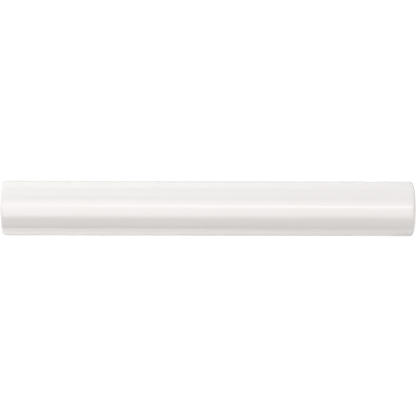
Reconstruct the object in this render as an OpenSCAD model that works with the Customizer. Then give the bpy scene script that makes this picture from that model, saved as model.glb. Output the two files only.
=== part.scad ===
// Astragal moulding tile: a half-round trim of glazed ceramic, pressed and fired as one piece.
// It lies on its back. X runs along the tile, Y across its face, and Z points out of the wall.
// The origin is at the middle of the back. Lengths are in millimetres.

/* [Moulding] */
// Length of the tile
tile_length = 150; // [60:5:330]
// Width of the face, which is also twice the radius of the half round
face_width = 20; // [14:1:40]
// Height of the upright side between the back and the half round
side_height = 2; // [1:0.5:8]

/* [Edges] */
// Radius of the soft edge around each end, and of the upright corners
end_radius = 1.2; // [0.8:0.1:3]
// Width and height of the bevel around the back
back_bevel = 0.4; // [0.2:0.1:0.6]

/* [Keyed back] */
// About how far it is from one rib to the next: the ribs share the length evenly
rib_spacing = 9; // [7:0.5:15]
// Width of the ribs between the pockets
rib_width = 2.4; // [1.2:0.2:4]
// Width of the flat rim beside the pockets, along each side
side_rim = 3; // [2:0.5:4]
// Width of the flat rim at each end
end_rim = 5; // [3:0.5:12]
// Depth of the pockets between the ribs, which the adhesive grips
pocket_depth = 0.8; // [0.4:0.1:1.5]
// Radius of a pocket's corners at its mouth
pocket_corner = 1; // [0.6:0.1:1.6]
// How far a pocket's walls lean in between its mouth and its floor
pocket_draft = 0.25; // [0.05:0.05:0.5]

/* [Hidden] */

$fn = 96;

glaze_white = "#f2f0ed";

round_radius = face_width / 2;

keyed_length = tile_length - 2 * end_rim;
pocket_count = round((keyed_length + rib_width) / rib_spacing);
pocket_pitch = (keyed_length + rib_width) / pocket_count;
pocket_length = pocket_pitch - rib_width;
pocket_width = face_width - 2 * side_rim;

// A quarter of a disc, from the origin towards +X and +Y.
module quarter_disc(radius) {
    intersection() {
        circle(r = radius);
        square(radius);
    }
}

// Half of a rounded rectangle as long as Y, on the +X side of its middle line.
module half_plan(length, half_width, corner) {
    translate([0, -length / 2])
        square([half_width - corner, length]);
    translate([half_width - corner, corner - length / 2])
        square([corner, length - 2 * corner]);
    for (end = [0, 1])
        mirror([0, end])
            translate([half_width - corner, length / 2 - corner])
                quarter_disc(corner);
}

// The upright section of a leaning pad: wide at Z 0, and narrower by lean on each side at the top.
module leaning_section(width, height, lean) {
    polygon([
        [-width / 2, 0],
        [width / 2, 0],
        [width / 2 - lean, height],
        [lean - width / 2, height],
    ]);
}

// A low pad with a rounded rectangle for its plan, whose walls lean in as it rises from Z 0.
module leaning_pad(length, width, corner, height, lean) {
    straight_length = length - 2 * corner;
    straight_width = width - 2 * corner;
    rotate([90, 0, 90])
        linear_extrude(straight_length, center = true)
            leaning_section(width, height, lean);
    rotate([90, 0, 0])
        linear_extrude(straight_width, center = true)
            leaning_section(length, height, lean);
    for (x = [-1, 1], y = [-1, 1])
        translate([x * straight_length / 2, y * straight_width / 2, 0])
            cylinder(h = height, r1 = corner, r2 = corner - lean);
}

// The rounded face: half of the plan, turned half a turn about the tile's long axis.
module half_round() {
    translate([0, 0, side_height])
        rotate([90, 0, 90])
            rotate_extrude(angle = 180)
                half_plan(tile_length, round_radius, end_radius);
}

// The upright sides, between the half round and the bevel.
module upright_sides() {
    translate([0, 0, back_bevel])
        linear_extrude(side_height - back_bevel)
            for (turn = [90, 270])
                rotate(turn)
                    half_plan(tile_length, round_radius, end_radius);
}

// The bevelled layer that the tile stands on.
module bevelled_back() {
    translate([0, 0, back_bevel])
        mirror([0, 0, 1])
            leaning_pad(tile_length, face_width, end_radius, back_bevel, back_bevel);
}

// The shallow pockets across the back, in a row like the gaps in a ladder.
module key_pockets() {
    for (i = [0 : pocket_count - 1])
        translate([(i - (pocket_count - 1) / 2) * pocket_pitch, 0, 0])
            leaning_pad(pocket_length, pocket_width, pocket_corner, pocket_depth, pocket_draft);
}

// The whole tile, in one piece.
module astragal_tile() {
    color(glaze_white)
        difference() {
            union() {
                half_round();
                upright_sides();
                bevelled_back();
            }
            key_pockets();
        }
}

astragal_tile();
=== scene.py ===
# %% [markdown]
# # A glazed astragal moulding tile
# An astragal is a half-round trim that caps or edges a run of wall tiles. This one is clay,
# pressed in a die, dipped face down in white glaze and fired as one piece. The solid model of it
# is the frame: it gives the size and the place, and everything here is fitted to its box.

import math

import bmesh
import bpy
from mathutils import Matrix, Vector


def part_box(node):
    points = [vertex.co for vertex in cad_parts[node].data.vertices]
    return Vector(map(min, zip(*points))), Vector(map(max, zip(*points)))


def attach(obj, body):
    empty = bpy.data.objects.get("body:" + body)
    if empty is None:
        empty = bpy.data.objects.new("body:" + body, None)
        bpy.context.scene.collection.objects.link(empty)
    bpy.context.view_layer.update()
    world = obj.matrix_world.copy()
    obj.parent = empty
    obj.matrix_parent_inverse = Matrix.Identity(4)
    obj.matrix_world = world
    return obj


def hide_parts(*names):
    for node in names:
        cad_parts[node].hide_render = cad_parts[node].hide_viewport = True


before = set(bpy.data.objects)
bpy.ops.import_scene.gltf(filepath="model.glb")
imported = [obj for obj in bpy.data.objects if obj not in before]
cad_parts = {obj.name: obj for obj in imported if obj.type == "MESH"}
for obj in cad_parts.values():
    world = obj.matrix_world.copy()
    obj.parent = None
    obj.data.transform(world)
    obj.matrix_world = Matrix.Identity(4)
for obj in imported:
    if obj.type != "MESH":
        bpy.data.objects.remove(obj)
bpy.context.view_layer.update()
low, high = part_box("astragal_tile")

MM = 0.001
LENGTH = high.x - low.x
RADIUS = (high.y - low.y) / 2
SIDE = high.z - low.z - RADIUS
print(f"tile {LENGTH / MM:.1f} long, radius {RADIUS / MM:.1f}, upright side {SIDE / MM:.2f} mm")

# %% [markdown]
# ## Selecting by place
# In edit mode an operator acts on what is selected. By hand, that is a click or a box. In a
# script, the same choice is a test on each vertex, edge or face, such as how high it lies.

# %% Select what passes a test
NEAR = 0.01 * MM
X, Y, Z = 0, 1, 2


def middle(part):
    """The middle of an edge or a face."""
    return sum((v.co for v in part.verts), Vector()) / len(part.verts)


def select(piece, kind, test):
    """Selects the vertices, edges or faces of the piece in edit mode that pass the test."""
    bpy.ops.mesh.select_mode(type=kind)
    bpy.ops.mesh.select_all(action="DESELECT")
    mesh = bmesh.from_edit_mesh(piece.data)
    parts = {"VERT": mesh.verts, "EDGE": mesh.edges, "FACE": mesh.faces}[kind]
    chosen = [part for part in parts if test(part)]
    for part in chosen:
        part.select_set(True)
    mesh.select_flush_mode()
    bmesh.update_edit_mesh(piece.data)
    return len(chosen)


def all_near(part, axis, place):
    """Whether every vertex of an edge or a face lies at this place on one axis."""
    return all(abs(v.co[axis] - place) < NEAR for v in part.verts)


# %% [markdown]
# ## The rounded face
# The face is a half round with soft ends. A cylinder cut in half would need its end edges
# bevelled on a curve. Spinning the tile's own plan is surer: half of the plan, with its outer
# corners rounded, turns half a turn about the long axis and leaves the soft ends behind it.

# %% Draw half of the plan
END_ROUND = 1.2 * MM
ROUND_STEPS = 12
ROUND_PROFILE = 0.5
LENGTH_CUTS = 119
END_CUTS = 7

bpy.ops.object.select_all(action="DESELECT")
bpy.ops.mesh.primitive_plane_add(size=1, location=(0, RADIUS / 2, SIDE))
tile = bpy.context.active_object
tile.name = "glazed_tile"
tile.data.name = "glazed_tile"
tile.scale = (LENGTH, RADIUS, 1)
bpy.ops.object.transform_apply(location=True, rotation=True, scale=True)

bpy.ops.object.mode_set(mode="EDIT")
select(tile, "VERT", lambda v: v.co.y > RADIUS - NEAR)
bpy.ops.mesh.bevel(offset=END_ROUND, segments=ROUND_STEPS, profile=ROUND_PROFILE,
                   affect="VERTICES")
bpy.ops.mesh.select_all(action="SELECT")
bpy.ops.mesh.delete(type="ONLY_FACE")
select(tile, "EDGE", lambda e: all_near(e, Y, 0))
bpy.ops.mesh.delete(type="EDGE")
select(tile, "EDGE", lambda e: all_near(e, Y, RADIUS))
bpy.ops.mesh.subdivide(number_cuts=LENGTH_CUTS)
select(tile, "EDGE", lambda e: all_near(e, X, LENGTH / 2) or all_near(e, X, -LENGTH / 2))
bpy.ops.mesh.subdivide(number_cuts=END_CUTS)
print("outline points:", len(bmesh.from_edit_mesh(tile.data).verts))

# %% Spin it half a turn about the long axis
SPIN_STEPS = 120
SAME_POINT = NEAR / 10

bpy.ops.mesh.select_all(action="SELECT")
bpy.ops.mesh.spin(steps=SPIN_STEPS, angle=math.pi, center=(0, 0, SIDE), axis=(-1, 0, 0))
bpy.ops.mesh.select_all(action="SELECT")
bpy.ops.mesh.remove_doubles(threshold=SAME_POINT)
print("half round faces:", len(bmesh.from_edit_mesh(tile.data).faces))

# %% [markdown]
# ## The upright sides and the back
# The open rim of the half round is the whole plan of the tile. Extruding it straight down makes
# the upright sides, with the corners already rounded. The foot is wiped clean of glaze before
# the firing, so the coat ends in a small step there. A texture could only paint that line, so
# the rim is drawn in by the thickness of the coat before the last stretch down to the back.

# %% Extrude the rim down to the end of the glaze
GLAZE_FOOT = 0.62 * MM
GLAZE_COAT = 0.12 * MM


def extrude_down(depth):
    """Extrudes the selected rim straight down."""
    bpy.ops.mesh.extrude_region_move(TRANSFORM_OT_translate={"value": (0, 0, -depth)})


select(tile, "EDGE", lambda e: len(e.link_faces) == 1)
extrude_down(SIDE - GLAZE_FOOT)
extrude_down(0)
bpy.ops.transform.resize(value=(1 - 2 * GLAZE_COAT / LENGTH, 1 - GLAZE_COAT / RADIUS, 1),
                         center_override=(0, 0, GLAZE_FOOT))
extrude_down(GLAZE_FOOT)
print("points on the rim:", sum(v.select for v in bmesh.from_edit_mesh(tile.data).verts))

# %% Close the back and soften its edges
BACK_BEVEL = 0.4 * MM
BACK_BEVEL_STEPS = 3
BEAD_ROUND = 0.07 * MM
BEAD_STEPS = 3

select(tile, "EDGE", lambda e: len(e.link_faces) == 1)
bpy.ops.mesh.edge_face_add()
bpy.ops.mesh.select_all(action="SELECT")
bpy.ops.mesh.normals_make_consistent(inside=False)
select(tile, "EDGE", lambda e: all_near(e, Z, 0))
bpy.ops.mesh.bevel(offset=BACK_BEVEL, segments=BACK_BEVEL_STEPS, profile=ROUND_PROFILE,
                   affect="EDGES")
print("bead edges:", select(tile, "EDGE", lambda e: all_near(e, Z, GLAZE_FOOT) and any(
    middle(f).z > GLAZE_FOOT + NEAR for f in e.link_faces)))
bpy.ops.mesh.bevel(offset=BEAD_ROUND, segments=BEAD_STEPS, profile=ROUND_PROFILE, affect="EDGES")
print("lowest point:", min(v.co.z for v in bmesh.from_edit_mesh(tile.data).verts))

# %% [markdown]
# ## The keyed back
# The adhesive grips in shallow pockets between cross ribs. A boolean cut with a row of blocks
# would do, but its walls would meet the back in hard corners that no bevel can reach. Here the
# back is bisected along the edges of every rib, and each cell is inset inwards, which makes the
# leaning walls in one step. The upright corners and the rims are bevelled afterwards.

# %% Work out where the ribs lie
RIB = 2.4 * MM
RIB_SPACING = 9 * MM
SIDE_RIM = 3 * MM
END_RIM = 5 * MM

keyed_length = LENGTH - 2 * END_RIM
pocket_count = round((keyed_length + RIB) / RIB_SPACING)
pitch = (keyed_length + RIB) / pocket_count
pocket_half = (pitch - RIB) / 2
pocket_middles = [(i - (pocket_count - 1) / 2) * pitch for i in range(pocket_count)]
pocket_reach = RADIUS - SIDE_RIM
print(f"{pocket_count} pockets of {2 * pocket_half / MM:.2f} by {2 * pocket_reach / MM:.1f} mm")

# %% Bisect the back along every rib and both side rims
SNAP = NEAR / 100


def cut_back(place, axis):
    """Cuts the flat back with an upright plane, at this place on this axis."""
    select(tile, "FACE", lambda f: all_near(f, Z, 0))
    where = [0, 0, 0]
    where[axis] = place
    bpy.ops.mesh.bisect(plane_co=where, plane_no=[axis == X, axis == Y, 0], threshold=SNAP)


for edge in (-pocket_reach, pocket_reach):
    cut_back(edge, Y)
for place in pocket_middles:
    cut_back(place - pocket_half, X)
    cut_back(place + pocket_half, X)
back_faces = [f for f in bmesh.from_edit_mesh(tile.data).faces if all_near(f, Z, 0)]
print("faces on the back:", len(back_faces))

# %% Inset the pockets and round them
POCKET_DEPTH = 0.8 * MM
POCKET_DRAFT = 0.25 * MM
POCKET_CORNER = 1.0 * MM
CORNER_STEPS = 6
FLOOR_ROUND = 0.25 * MM
FLOOR_STEPS = 3
MOUTH_ROUND = 0.15 * MM
MOUTH_STEPS = 2
FACES_DOWN = -0.9


def is_pocket(face):
    """Whether a face of the back lies over one of the pockets."""
    at = middle(face)
    if not all_near(face, Z, 0) or abs(at.y) > pocket_reach:
        return False
    return any(abs(at.x - place) < pocket_half for place in pocket_middles)


def joins(edge, first, second):
    """Whether an edge has one end at each of these two heights."""
    heights = sorted(v.co.z for v in edge.verts)
    return abs(heights[0] - first) < NEAR and abs(heights[1] - second) < NEAR


def in_keyed_part(edge):
    """Whether an edge lies within the part of the back that has the pockets."""
    at = middle(edge)
    return abs(at.x) < LENGTH / 2 - END_RIM + NEAR and abs(at.y) < pocket_reach + NEAR


print("pocket faces:", select(tile, "FACE", is_pocket))
bpy.ops.mesh.inset(thickness=POCKET_DRAFT, depth=-POCKET_DEPTH, use_individual=True)
print("corner edges:", select(tile, "EDGE", lambda e: joins(e, 0, POCKET_DEPTH)))
bpy.ops.mesh.bevel(offset=POCKET_CORNER, segments=CORNER_STEPS, profile=ROUND_PROFILE,
                   affect="EDGES")
select(tile, "EDGE", lambda e: all_near(e, Z, POCKET_DEPTH))
bpy.ops.mesh.bevel(offset=FLOOR_ROUND, segments=FLOOR_STEPS, profile=ROUND_PROFILE, affect="EDGES")
select(tile, "EDGE", lambda e: all_near(e, Z, 0) and in_keyed_part(e) and any(
    f.normal.z > FACES_DOWN for f in e.link_faces))
bpy.ops.mesh.bevel(offset=MOUTH_ROUND, segments=MOUTH_STEPS, profile=ROUND_PROFILE, affect="EDGES")

# %% [markdown]
# ## The flow of the glaze
# Molten glaze runs a little before it sets, so the face of a real tile is never quite true, and
# the lights that it mirrors waver. Bump in the material would leave the mesh dead straight. A
# Displace modifier with a soft cloud texture moves the face itself, inwards only, and a vertex
# group holds the rolled ends and the sides where they are.

# %% Let the face waver
FLOW_DEPTH = 0.05 * MM
FLOW_SIZE = 17 * MM
FLOW_FADE = 4 * MM

bpy.ops.object.mode_set(mode="OBJECT")


def rise(value, start, end):
    """0 below start and 1 above end, with a soft change between."""
    share = min(max((value - start) / (end - start), 0), 1)
    return share * share * (3 - 2 * share)


face = tile.vertex_groups.new(name="face")
for vertex in tile.data.vertices:
    inward = rise(LENGTH / 2 - abs(vertex.co.x), END_ROUND, END_ROUND + FLOW_FADE)
    face.add([vertex.index], inward * rise(vertex.co.z, SIDE, SIDE + FLOW_FADE), "REPLACE")

flow_texture = bpy.data.textures.new("glaze_flow", type="CLOUDS")
flow_texture.noise_scale = FLOW_SIZE
flow_texture.noise_depth = 1
flow = tile.modifiers.new("glaze_flow", "DISPLACE")
flow.texture = flow_texture
flow.texture_coords = "LOCAL"
flow.vertex_group = face.name
flow.mid_level = 1
flow.strength = FLOW_DEPTH
bpy.ops.object.modifier_apply(modifier=flow.name)
print(f"crest now {max(v.co.z for v in tile.data.vertices) / MM:.3f} mm high")

# %% Finish the shape
SHARP_ABOVE = 40

bpy.ops.object.shade_smooth_by_angle(angle=math.radians(SHARP_ABOVE))

solid = bmesh.new()
solid.from_mesh(tile.data)
open_edges = sum(1 for edge in solid.edges if len(edge.link_faces) != 2)
print(f"open edges {open_edges}, volume {solid.calc_volume() / MM ** 3:.0f} cubic mm,",
      f"{len(solid.faces)} faces")
solid.free()

# %% [markdown]
# ## Shader maths
# A procedural finish is a little arithmetic on places and noise. Wired by hand it is a web of
# Math nodes. Here a socket is wrapped so that a sum or a product of two sockets adds the Math
# node that works it out, and the finish reads like a formula.

# %% Wrap a socket


class Wire:
    """A value in a node tree. Arithmetic on it adds Math nodes."""

    def __init__(self, tree, socket=None):
        self.tree = tree
        self.socket = socket

    def node(self, kind, settings=None, sockets=None, output=0):
        """Adds a node, makes its settings, then gives its sockets their values or links."""
        made = self.tree.nodes.new(kind)
        for name, value in (settings or {}).items():
            setattr(made, name, value)
        for name, value in (sockets or {}).items():
            if isinstance(value, Wire):
                self.tree.links.new(value.socket, made.inputs[name])
            else:
                made.inputs[name].default_value = value
        return Wire(self.tree, made.outputs[output] if made.outputs else None)

    def math(self, operation, *others):
        """A Math node on this value and the others, in that order."""
        return self.node("ShaderNodeMath", {"operation": operation}, dict(
            enumerate((self, *others))))

    def vector(self, operation, *others, output=0):
        """A Vector Math node on this vector and the others, in that order."""
        return self.node("ShaderNodeVectorMath", {"operation": operation}, dict(
            enumerate((self, *others))), output)

    def split(self):
        """The three parts of a vector."""
        parts = self.node("ShaderNodeSeparateXYZ", {}, {0: self}).socket.node
        return [Wire(self.tree, part) for part in parts.outputs]

    def __add__(self, other):
        return self.math("ADD", other)

    def __sub__(self, other):
        return self.math("SUBTRACT", other)

    def __rsub__(self, other):
        return self.node("ShaderNodeMath", {"operation": "SUBTRACT"}, {0: other, 1: self})

    def __mul__(self, other):
        return self.math("MULTIPLY", other)

    def __abs__(self):
        return self.math("ABSOLUTE")

    __radd__ = __add__

    def smooth(self, start, end):
        """0 up to start and 1 past end, with a soft change between. Either may be the lower."""
        return self.node("ShaderNodeMapRange", {"interpolation_type": "SMOOTHSTEP"}, {
            "Value": self, "From Min": start, "From Max": end})

    def blend(self, first, second):
        """A colour between two, by this value."""
        return self.node("ShaderNodeMix", {"data_type": "RGBA"}, {
            "Factor": self, "A": first, "B": second}, "Result")


# %% [markdown]
# ## The finish
# The tile is pressed from a cream clay that fires hard and matt. The glaze on it is a coat of
# white glass that mirrors the lights. It lies a little thinner on the rolled ends, where the
# clay warms its colour. It stops in a slightly ragged line at the step on the sides, and the
# back stays bare. One material does both: a mask on the place mixes the glaze with the clay,
# so the line between them needs no extra edges in the mesh.

# %% Start a material
WHITE = (1, 1, 1, 1)


def new_material(name):
    """An empty material and the wire that starts its tree."""
    material = bpy.data.materials.new(name)
    material.use_nodes = True
    material.node_tree.nodes.clear()
    return material, Wire(material.node_tree)


def noise(place, scale, detail):
    """Soft random values from 0 to 1, with about this many lumps to the metre."""
    return place.node("ShaderNodeTexNoise", {}, {
        "Vector": place, "Scale": scale, "Detail": detail}, "Fac")


def bump(height, strength, depth):
    """A surface roughened by this height, in metres at full strength."""
    return height.node("ShaderNodeBump", {}, {
        "Strength": strength, "Distance": depth, "Height": height})


def linear(red, green, blue):
    """A colour given as 0 to 255 on the screen, as the shader's linear values."""
    def one(value):
        """One of the three values, by the sRGB curve."""
        share = value / 255
        return share / 12.92 if share <= 0.04045 else ((share + 0.055) / 1.055) ** 2.4
    return (one(red), one(green), one(blue), 1)


# %% The glaze
GLAZE = linear(238, 233, 231)
GLAZE_THIN = linear(230, 225, 217)
GLAZE_IOR = 1.6
THIN_AT_END = 0.5
THIN_IN_CLOUDS = 0.3
GLAZE_ROUGH = 0.06
ROUGH_IN_CLOUDS = 0.02
CLOUD = 60
CLOUD_MIDDLE = 0.5
ORANGE_PEEL = 520
PEEL_STRENGTH = 0.2
PEEL_DEPTH = 0.02 * MM


def make_glaze(place):
    """White glass, a little thinner on the rolled ends and unevenly so all over."""
    x, y, z = place.split()
    up = z - SIDE
    from_axis = (y * y + up * up).math("SQRT")
    at_end = 1 - (LENGTH / 2 - abs(x)).smooth(0, END_ROUND)
    at_skin = from_axis.smooth(RADIUS - END_ROUND, RADIUS)
    cloud = noise(place, CLOUD, detail=2)
    thin = at_end * at_skin * THIN_AT_END + (cloud - CLOUD_MIDDLE) * THIN_IN_CLOUDS
    return place.node("ShaderNodeBsdfPrincipled", {}, {
        "Base Color": thin.blend(GLAZE, GLAZE_THIN),
        "Roughness": GLAZE_ROUGH + cloud * ROUGH_IN_CLOUDS,
        "IOR": GLAZE_IOR,
        "Normal": bump(noise(place, ORANGE_PEEL, detail=1), PEEL_STRENGTH, PEEL_DEPTH)})


print("glaze colour:", [round(part, 3) for part in GLAZE[:3]])

# %% The bare clay
BISCUIT = linear(221, 210, 191)
BISCUIT_DARK = linear(200, 185, 160)
SPECK = linear(150, 128, 102)
BISCUIT_ROUGH = 0.9
BISCUIT_IOR = 1.45
PATCH = 120
GRAIN = 2600
PATCH_SHARE = 0.6
DARK_CLAY = (0.35, 0.75)
SPECKS = 1500
SPECK_EDGE = (0.68, 0.76)
SPECK_STRENGTH = 0.6
PATCH_RELIEF = 0.5
CLAY_STRENGTH = 0.6
CLAY_DEPTH = 0.1 * MM


def make_biscuit(place):
    """Bare fired clay, with grain, darker patches and specks."""
    grain = noise(place, GRAIN, detail=3)
    patch = noise(place, PATCH, detail=3)
    dark = (patch * PATCH_SHARE + grain * (1 - PATCH_SHARE)).smooth(*DARK_CLAY)
    clay = dark.blend(BISCUIT, BISCUIT_DARK)
    specks = noise(place, SPECKS, detail=1).smooth(*SPECK_EDGE) * SPECK_STRENGTH
    return place.node("ShaderNodeBsdfPrincipled", {}, {
        "Base Color": specks.blend(clay, SPECK),
        "Roughness": BISCUIT_ROUGH,
        "IOR": BISCUIT_IOR,
        "Normal": bump(grain + patch * PATCH_RELIEF, CLAY_STRENGTH, CLAY_DEPTH)})


print("clay colour:", [round(part, 3) for part in BISCUIT[:3]])

# %% Where the glaze lies
DIPPED_RIM = 1.5 * MM
RIM_SOFT = 0.1 * MM
OVER_POCKETS = 0.2 * MM
LINE_WANDER = 0.3 * MM
LINE_BELOW_STEP = 0.04 * MM
LINE_SOFT = 0.08 * MM
WANDER = 130


def glazed_part(place):
    """1 on the glazed skin, and 0 on the foot, on the back and inside its pockets."""
    x, y, z = place.split()
    lowest = GLAZE_FOOT - LINE_BELOW_STEP - LINE_WANDER / 2
    line = noise(place, WANDER, detail=3) * LINE_WANDER + lowest
    above_line = (z - line).smooth(0, LINE_SOFT)
    beyond = (abs(x) - (LENGTH / 2 - DIPPED_RIM)).math("MAXIMUM", abs(y) - (RADIUS - DIPPED_RIM))
    beyond = beyond.math("MAXIMUM", z - (POCKET_DEPTH + OVER_POCKETS))
    return above_line * beyond.smooth(0, RIM_SOFT)


def make_glazed_clay():
    """The one material of the tile, glaze on the dipped skin and clay elsewhere."""
    material, start = new_material("glazed_clay")
    place = start.node("ShaderNodeTexCoord", output="Object")
    both = start.node("ShaderNodeMixShader", {}, {
        0: glazed_part(place), 1: make_biscuit(place), 2: make_glaze(place)})
    start.node("ShaderNodeOutputMaterial", {}, {"Surface": both})
    return material


# %% Put the finish on the tile
tile.data.materials.clear()
tile.data.materials.append(make_glazed_clay())
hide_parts("astragal_tile")
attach(tile, "root")
print("nodes in the finish:", len(tile.data.materials[0].node_tree.nodes))

# %% [markdown]
# ## The floor
# The tile lies near the front edge of a white sheet, on a darker table. Both look plain white
# to the camera, because rays from the camera get a little more light from them, and the shadow
# stays. The mirrored image is another matter: mirrored rays see a painted glow on the sheet.
# Low on its front side the tile mirrors it, as a bright warm band under a dark one. Close to the
# tile the painted glow fades into painted shade. The light comes mostly from the left, so the
# painted glow grows dimmer towards the right, and the painted shade reaches furthest past the
# right end.

# %% The sheet and the table
SHEET = (0.9, 0.9, 0.9, 1)
TABLE = (0.2, 0.2, 0.2, 1)
SHEET_EDGE = (-165 * MM, -66 * MM)
# Painted shade in the glow that mirrored rays see: how far it reaches in front of the tile, behind
# it and past the right end.
PAINTED_SHADE_REACH = 6.2 * MM
PAINTED_SHADE_BEHIND = 4 * MM
PAINTED_SHADE_RIGHT = 26 * MM
RIGHT_END = (67 * MM, 79 * MM)
# The painted glow grows dimmer towards the right, by this share.
FAR_SIDE = (-90 * MM, 170 * MM)
PAINTED_DIM_TO_RIGHT = 0.75
SHEET_LIFT = 0.42
TABLE_LIFT = 0.7
# How bright and how warm the painted glow of the sheet is to mirrored rays.
PAINTED_MIRROR_GLOW = 1.4
WARM_WHITE = (1.0, 0.94, 0.87, 1)
print(f"sheet in front of the tile: {(-RADIUS - SHEET_EDGE[1]) / MM:.0f} mm")

# %% Tell the rays apart


def light_path(start):
    """Whether a ray is seen, directly or through glass, and whether it is mirrored."""
    seen = start.node("ShaderNodeLightPath", output="Is Camera Ray")
    through = start.node("ShaderNodeLightPath", output="Is Transmission Ray")
    mirrored = start.node("ShaderNodeLightPath", output="Is Glossy Ray")
    return seen + through, mirrored


# %% Paint the sheet and the table


def make_white_table():
    """A white sheet on a darker table, white to the camera; mirrored rays see painted glow and
    shade.
    """
    material, start = new_material("white_table")
    seen, mirrored = light_path(start)
    place = start.node("ShaderNodeTexCoord", output="Object")
    x, y = place.split()[:2]
    past_side = place.vector("ABSOLUTE").vector("SUBTRACT", (LENGTH / 2, RADIUS, 0))
    gap = past_side.vector("MAXIMUM", (0, 0, 0)).vector("LENGTH", output="Value")
    sheet = y.smooth(*SHEET_EDGE)
    behind = y.smooth(0, RADIUS)
    # Painted shade: the glow that mirrored rays see fades out close to the tile, furthest past the
    # right end.
    painted_shade_reach = PAINTED_SHADE_REACH + behind * PAINTED_SHADE_BEHIND + x.smooth(*RIGHT_END) * PAINTED_SHADE_RIGHT
    # Painted glow for mirrored rays, on the sheet only, with the painted shade, and dimmer towards
    # the right.
    painted_glow_share = sheet * gap.smooth(0, painted_shade_reach) * (1 - x.smooth(*FAR_SIDE) * PAINTED_DIM_TO_RIGHT)
    strength = seen * (SHEET_LIFT + (1 - sheet) * TABLE_LIFT) + mirrored * painted_glow_share * PAINTED_MIRROR_GLOW
    paint = start.node("ShaderNodeBsdfDiffuse", {}, {"Color": sheet.blend(TABLE, SHEET)})
    glow = start.node("ShaderNodeEmission", {}, {
        "Color": mirrored.blend(WHITE, WARM_WHITE), "Strength": strength})
    both = start.node("ShaderNodeAddShader", {}, {0: paint, 1: glow})
    start.node("ShaderNodeOutputMaterial", {}, {"Surface": both})
    return material


# %% Lay the floor
FLOOR_SIZE = 6.0

bpy.ops.object.select_all(action="DESELECT")
bpy.ops.mesh.primitive_plane_add(size=FLOOR_SIZE, location=(0, 0, low.z))
floor = bpy.context.active_object
floor.name = "floor"
floor.data.materials.append(make_white_table())
print("nodes in the floor's paint:", len(floor.data.materials[0].node_tree.nodes))

# %% [markdown]
# ## The light
# A white glaze shows its shape by what it mirrors. The half round mirrors the whole room from
# one side to the other, so each band along it is a light or a gap between two lights. Lamps
# could be hung one by one, but their edges would be hard. Here the room itself is painted with
# soft-edged lights, each placed by two angles: how far it leans across the tile, from straight
# up towards the back or the front, and how far it leans along it.
#
# - A wide soft box hangs overhead, brightest towards the left.
# - A window with cooler light stands behind the tile.
# - A thin tube beside the camera, towards the right, draws the bright line along the crest.
# - The dark band lower down is the gap between the box and the sheet.
# - A faint light comes from the far right.
# - The walls to the left, to the right and in front show only as mirrored.

# %% The lights, their angles in degrees
ROOM_FILL = 0.1525
BOX_LIGHT = 2.89
BOX_FRONT = (-46.9, -27.9)
BOX_BACK = (9.1, 58.2)
BOX_SLANT = 0.5
BOX_LEFT = (-36, -20)
BOX_RIGHT = (-14, 34)
WINDOW_LIGHT = 2.1
WINDOW_TOP = (43.1, 61.2)
WINDOW_SILL = (67.3, 85.4)
SILL_DIM = 0.3
WINDOW_LEFT = (-40, -24)
WINDOW_RIGHT = (-14, 19.5)
COOL_WHITE = (0.88, 1.0, 1.06, 1)
TUBE_LIGHT = 2.65
TUBE_AT = 8.25
TUBE_SLANT = 0.35
TUBE_EDGE = (1.0, 5.0)
TUBE_LEFT = (-14, 7)
TUBE_RIGHT = (9, 22)
RIGHT_LIGHT = 0.2
RIGHT_SIDE = (20, 45)
LEFT_WALL_LIGHT = 0.65
LEFT_WALL = (-24, -48)
RIGHT_WALL_LIGHT = 0.65
RIGHT_WALL = (24, 48)
FRONT_WALL_LIGHT = 0.36
FRONT_FOOT = (-90, -80)
FRONT_TOP = (-72, -56)
print(f"dark band from {BOX_FRONT[0]} to {FRONT_TOP[1]} degrees")

# %% Paint the lights on the room


def between(value, start, end):
    """1 between two soft edges, and 0 outside them."""
    return value.smooth(*start) * (1 - value.smooth(*end))


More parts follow.
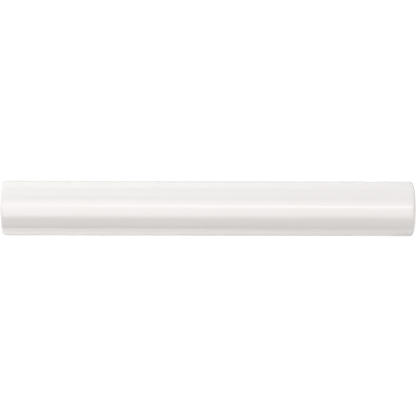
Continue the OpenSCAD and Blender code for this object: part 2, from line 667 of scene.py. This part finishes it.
def light_room():
    """Paints the lights on the world, which shows plain white to the camera."""
    world = bpy.data.worlds.new("room")
    bpy.context.scene.world = world
    world.use_nodes = True
    world.node_tree.nodes.clear()
    start = Wire(world.node_tree)
    seen, mirrored = light_path(start)
    x, y, z = start.node("ShaderNodeTexCoord", output="Generated").split()
    across = y.math("ARCTAN2", z) * math.degrees(1)
    along = x.math("ARCSINE") * math.degrees(1)

    box = across.smooth(*BOX_FRONT) * (1 - (across + along * BOX_SLANT).smooth(*BOX_BACK))
    box = box * between(along, BOX_LEFT, BOX_RIGHT)
    tube = 1 - abs(across + along * TUBE_SLANT - TUBE_AT).smooth(*TUBE_EDGE)
    tube = tube * between(along, TUBE_LEFT, TUBE_RIGHT)
    window = across.smooth(*WINDOW_TOP) * (1 - across.smooth(*WINDOW_SILL) * SILL_DIM)
    window = window * between(along, WINDOW_LEFT, WINDOW_RIGHT)
    right = along.smooth(*RIGHT_SIDE) * RIGHT_LIGHT
    walls = along.smooth(*LEFT_WALL) * LEFT_WALL_LIGHT
    walls = walls + along.smooth(*RIGHT_WALL) * RIGHT_WALL_LIGHT
    walls = walls + between(across, FRONT_FOOT, FRONT_TOP) * FRONT_WALL_LIGHT
    light = box * BOX_LIGHT + tube * TUBE_LIGHT + window * WINDOW_LIGHT + right + ROOM_FILL
    light = light + mirrored * walls

    room = start.node("ShaderNodeBackground", {}, {
        "Color": (window * (1 - seen)).blend(WHITE, COOL_WHITE),
        "Strength": light * (1 - seen) + seen})
    start.node("ShaderNodeOutputWorld", {}, {"Surface": room})
    print("nodes in the room:", len(world.node_tree.nodes))


light_room()

# %% [markdown]
# ## The camera
# The camera looks straight down on the face from 0.7 m. Its height shows in the ends: the crest
# lies nearer the camera than the long edges do, so both ends bow out a little at the crest. The
# lens follows from the height, because the tile has to be as long as it is in the picture.

# %% Set the camera
CAMERA_HEIGHT = 700 * MM
FRAME = 416
TILE_SPAN = 415.5
TILE_AT = (207.7, 208.35)
TILE_TILT = 0.14
SENSOR_WIDTH = 36

per_pixel = LENGTH / TILE_SPAN
seen_half = per_pixel * FRAME / 2
ends_below = CAMERA_HEIGHT + END_ROUND

camera_data = bpy.data.cameras.new("camera")
camera_data.sensor_width = SENSOR_WIDTH
camera_data.lens = SENSOR_WIDTH / 2 * ends_below / seen_half
camera = bpy.data.objects.new("camera", camera_data)
bpy.context.scene.collection.objects.link(camera)
camera.location = (
    (FRAME / 2 - TILE_AT[0]) * per_pixel,
    (TILE_AT[1] - FRAME / 2) * per_pixel,
    high.z + CAMERA_HEIGHT,
)
camera.rotation_euler = (0, 0, math.radians(TILE_TILT))
bpy.context.scene.camera = camera
bpy.context.scene.view_settings.view_transform = "Standard"
print(f"lens {camera_data.lens:.1f} mm")
